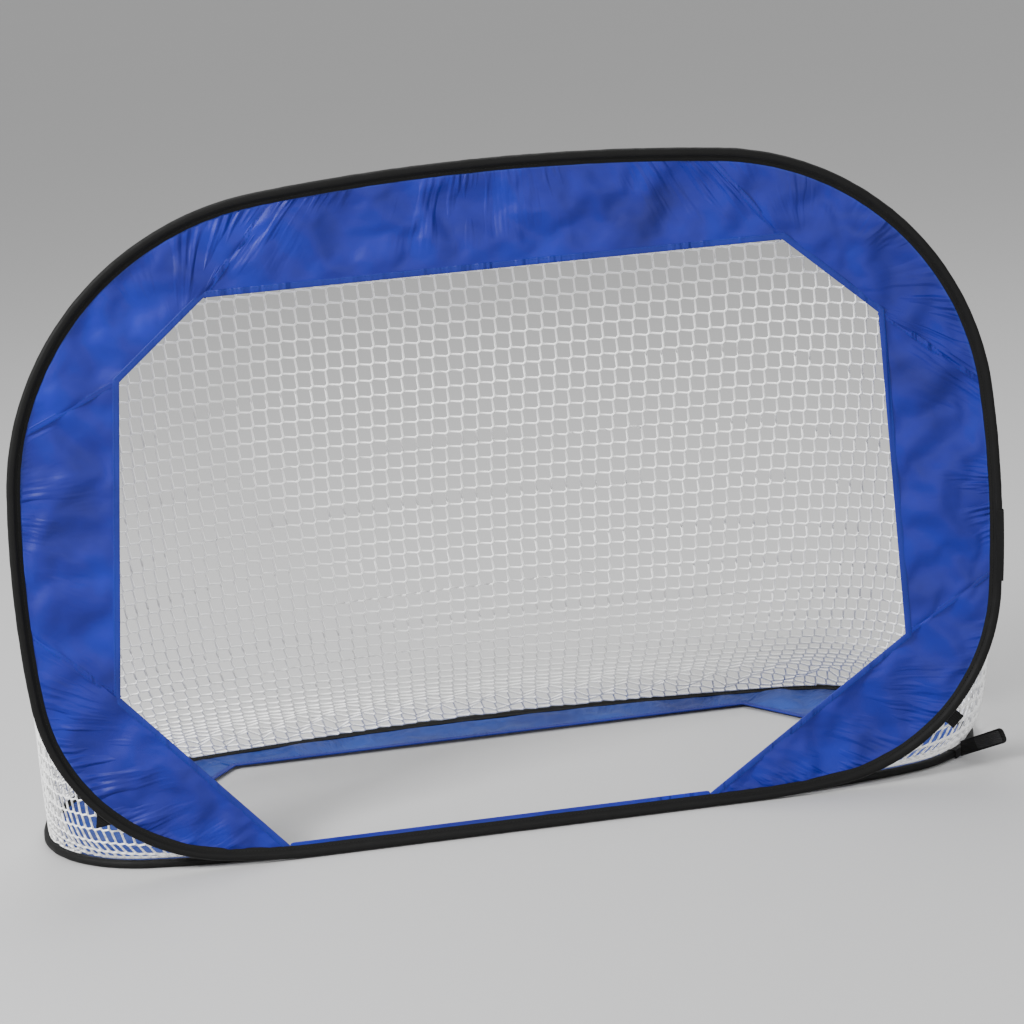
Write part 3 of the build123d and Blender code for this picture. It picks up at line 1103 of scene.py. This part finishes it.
    def hang(self, strip: bpy.types.Object, upper: float, lower: float) -> None:
        """Works out how one strip would fold between the hoops, but only bakes its transform into its mesh.

        Args:
            strip: the strip.
            upper: its angle behind the front hoop, at its front edge.
            lower: the same at its rear edge.
        """
        shares = [(1 - angle / 90) ** self.fold_power for angle in (lower, upper)]
        turns = [0.5 - sin(asin(1 - 2 * share) / 3) for share in shares]
        middle = 0.0 if upper == 0 else 90.0 if lower == 90 else (upper + lower) / 2
        turns[0] = turns[0] or self.fold_foot
        anchor = turns[1] if upper == 0 else turns[0] if lower == 90 else sum(turns) / 2
        mean = 0.8 * float(self.reach_at(np.array([radians((upper + lower) / 2)]))[0])
        length = mean * radians(lower - upper) / (turns[1] - turns[0])
        way = Vector((0, -cos(radians(middle)), sin(radians(middle))))
        ray = Vector((0, sin(radians(middle)), cos(radians(middle))))
        centre = Vector(self.hinge) + mean * ray
        centre - anchor * length * way
        centre + (1 - anchor) * length * way
        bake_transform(strip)


# ---- webbing and carried-over pieces ----


@dataclass
class Hardware:
    """The pieces whose made shape is right as it stands, which only take a finish."""

    finishes: Finishes

    def dress(self) -> None:
        """Gives each carried-over piece its finish."""
        f = self.finishes
        worn = {
            f.steel: ("front_spring_strip", "base_spring_strip"),
            f.ferrule: ("front_strip_ferrule", "base_strip_ferrule"),
            f.binding: ("front_binding_join", "sill_seam_tape"),
            f.webbing: ("front_left_web_tab", "front_right_web_tab", "strap_anchor", "strap_tail"),
            f.hook: ("strap_hook_patch",),
        }
        for material, names in worn.items():
            for name in names:
                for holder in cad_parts[name].material_slots:
                    holder.material = material


# ---- studio ----


@dataclass
class Studio:
    """Pale floor, soft lights and the camera."""

    camera_place: tuple = (-0.526, -3.680, 1.2828)
    yaw: float = -8.16
    pitch: float = -13.39
    roll: float = -4.48
    lens: float = 112.2
    shift: tuple = (-0.0035, -0.0014)
    floor_half: float = 40.0
    sky: float = 0.8

    def floor(self) -> None:
        """Lays the floor."""
        bm = bmesh.new()
        bmesh.ops.create_grid(bm, x_segments=4, y_segments=4, size=self.floor_half)
        piece = to_piece(bm, "studio_floor", Ground().make())
        piece.data.transform(Matrix.Translation((0, 0, -0.3 * MM)))

    def light(self, name: str, place: tuple, size: float, power: float, aim: tuple = (0, 0.1, 0.35)) -> None:
        """Hangs one soft light.

        Args:
            name: its name.
            place: where it hangs.
            size: its width.
            power: its power in watts.
            aim: the point that it faces.
        """
        lamp = bpy.data.lights.new(name, "AREA")
        lamp.size, lamp.energy = size, power
        holder = bpy.data.objects.new(name, lamp)
        holder.location = place
        holder.rotation_euler = (Vector(aim) - Vector(place)).to_track_quat("-Z", "Y").to_euler()
        bpy.context.scene.collection.objects.link(holder)

    def lights(self) -> None:
        """Hangs the key, fill and top lights in a pale room."""
        self.light("key_light", (-3.0, -1.6, 2.6), 0.9, 260)
        self.light("fill_light", (1.6, -4.4, 1.0), 1.8, 70)
        self.light("top_light", (0.2, 1.2, 3.4), 2.4, 90)
        world = bpy.data.worlds.new("studio_room")
        world.use_nodes = True
        backdrop = world.node_tree.nodes["Background"]
        backdrop.inputs["Color"].default_value = (1, 1, 1, 1)
        backdrop.inputs["Strength"].default_value = self.sky
        bpy.context.scene.world = world

    def camera(self) -> None:
        """Sets the camera low in front, a little to the left."""
        lens = bpy.data.cameras.new("camera")
        lens.lens = self.lens
        lens.shift_x, lens.shift_y = self.shift
        lens.clip_start, lens.clip_end = 0.1, 200
        holder = bpy.data.objects.new("camera", lens)
        turned = (
            Matrix.Rotation(radians(self.yaw), 4, "Z") @ Matrix.Rotation(radians(90 + self.pitch), 4, "X")
            @ Matrix.Rotation(radians(self.roll), 4, "Z")
        )
        holder.matrix_world = Matrix.Translation(self.camera_place) @ turned
        bpy.context.scene.collection.objects.link(holder)
        bpy.context.scene.camera = holder


# ---- the goal ----


def in_metres(seams: list[tuple]) -> list[tuple]:
    """Turns seams given in millimetres into metres."""
    return [tuple((x * MM, y * MM) for x, y in seam) for seam in seams]


def mirrored(seams: list[tuple]) -> list[tuple]:
    """Adds the right half to the seams of a left half, in the same turning direction."""
    return seams + [tuple((-x, y) for x, y in seam) for seam in reversed(seams)]


FRONT = Hoop(
    "front", Body.FRONT, (0, -11 * MM, 0.5 * MM), (0, 0, 1), 0.264,
    (0.866, 0.248, 1.431, 0.359), (7.8, 77.2, 10.1, 78.9), slump=9 * MM, swell=13 * MM,
)
BASE = Hoop(
    "base", Body.BASE, (0, -5 * MM, 5 * MM), (0, 1, 0), 0.276,
    (0.848, 0.163, 0.307, 0.230), (13.6, 73.6, 16.0, 67.6), slump=3.6 * MM, swell=6 * MM,
)
FRONT_SEAMS = in_metres([
    ((-306, 16), (-306, -900)), ((-490, 226), (-583, 312)), ((-452, 605), (-546, 564)),
    ((-345, 694), (-264, 788)), ((345, 694), (267, 793)), ((458, 594), (562, 509)),
    ((472, 190), (569, 247)), ((214, 16), (214, -900)),
])
BASE_SEAMS = in_metres(mirrored([
    ((-300, 16), (-300, -900)), ((-440, 120), (-560, 92)), ((-440, 240), (-580, 282)),
    ((-345, 380), (-392, 440)),
]))
FRONT_PANELS = [
    "lower_left_corner", "left_band", "upper_left_corner", "top_band",
    "upper_right_corner", "right_band", "lower_right_corner",
]
BASE_PANELS = [
    "front_left_corner", "left_band", "rear_left_corner", "rear_band",
    "rear_right_corner", "right_band", "front_right_corner",
]


def main() -> None:
    """Builds the goal and its studio, and logs the face count of each made piece."""
    logging.basicConfig(level=logging.INFO, format="%(message)s")
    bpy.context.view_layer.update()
    finishes = Finishes.make()
    studio = Studio()
    studio.camera()
    for fabric in (
        Fabric(FRONT, FRONT_SEAMS, FRONT_PANELS, finishes, finishes.panel),
        Fabric(BASE, BASE_SEAMS, BASE_PANELS, finishes, finishes.base_panel),
    ):
        fabric.panels()
        for piece in (fabric.hem(), fabric.fells(), fabric.topstitch()):
            log.info("%s: %d faces", piece.name, len(piece.data.polygons))
    for hoop in (FRONT, BASE):
        binding = Binding(hoop, finishes)
        for piece in (binding.build(), binding.stitch()):
            log.info("%s: %d faces", piece.name, len(piece.data.polygons))
    Net(FRONT, BASE, finishes.twine).build()
    Hardware(finishes).dress()
    studio.floor()
    studio.lights()


if __name__ == "__main__":
    main()
